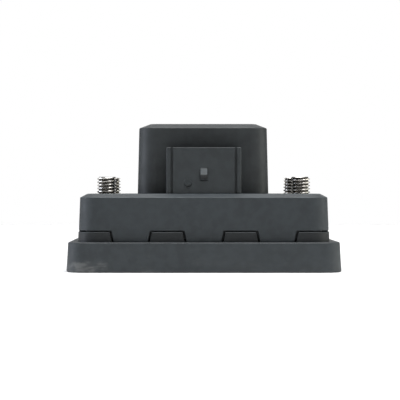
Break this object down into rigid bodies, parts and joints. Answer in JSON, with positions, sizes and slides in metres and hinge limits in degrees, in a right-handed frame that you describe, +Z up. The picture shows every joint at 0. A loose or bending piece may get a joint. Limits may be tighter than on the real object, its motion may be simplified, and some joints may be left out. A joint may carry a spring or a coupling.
{
  "type": "battery monitor shunt",
  "caption": "Box-shaped current shunt on a wider base, with threaded terminal studs, a raised electronics cover and an upright cable socket.",
  "frame": {"origin": "centre of the underside, on the surface that the base stands on", "axes": "+X to the right across the long side, -Y towards the cable socket, +Z up along the studs"},
  "size_m": [0.1332, 0.0902, 0.0728],
  "materials": {
    "housing_plastic": "fine moulded grain",
    "port_plastic": "fine moulded grain",
    "seal_rubber": "matte",
    "stainless": "bright rolled thread",
    "tinned_copper": "satin tin plating",
    "manganin": "rolled sheet",
    "brass": "turned",
    "board_laminate": "solder mask",
    "chip_resin": "moulded resin",
    "component_can": "drawn can"
  },
  "bodies": {
    "root": {"base": "housing_plastic", "housing": "housing_plastic", "electronics_cover": "housing_plastic", "port_shroud": "port_plastic", "base_seal": "seal_rubber", "cover_gasket": "seal_rubber", "stud_front_left": "stainless", "stud_front_right": "stainless", "stud_rear_left": "stainless", "stud_rear_right": "stainless", "terminal_block_left": "tinned_copper", "terminal_block_right": "tinned_copper", "shunt_blade_1": "manganin", "shunt_blade_2": "manganin", "shunt_blade_3": "manganin", "shunt_blade_4": "manganin", "shunt_blade_5": "manganin", "mount_sleeve_front_left": "brass", "mount_sleeve_front_right": "brass", "mount_sleeve_rear_left": "brass", "mount_sleeve_rear_right": "brass", "port_pin_1": "brass", "port_pin_2": "brass", "port_pin_3": "brass", "port_pin_4": "brass", "port_pin_5": "brass", "port_pin_6": "brass", "port_pin_7": "brass", "port_pin_8": "brass", "sense_post_left": "brass", "sense_post_right": "brass", "sense_screw_left": "stainless", "sense_screw_right": "stainless", "housing_screw_front_left": "stainless", "housing_screw_front_right": "stainless", "housing_screw_rear_left": "stainless", "housing_screw_rear_right": "stainless", "cover_screw_front_left": "stainless", "cover_screw_front_right": "stainless", "cover_screw_rear_left": "stainless", "cover_screw_rear_right": "stainless", "board_screw_front_left": "stainless", "board_screw_front_right": "stainless", "board_screw_rear_left": "stainless", "board_screw_rear_right": "stainless", "circuit_board": "board_laminate", "microcontroller": "chip_resin", "sense_amplifier": "chip_resin", "isolated_converter": "chip_resin", "power_inductor": "chip_resin", "temperature_sensor": "chip_resin", "clock_crystal": "component_can", "radio_module": "component_can", "capacitor_front": "component_can", "capacitor_rear": "component_can"}
  },
  "joints": []
}
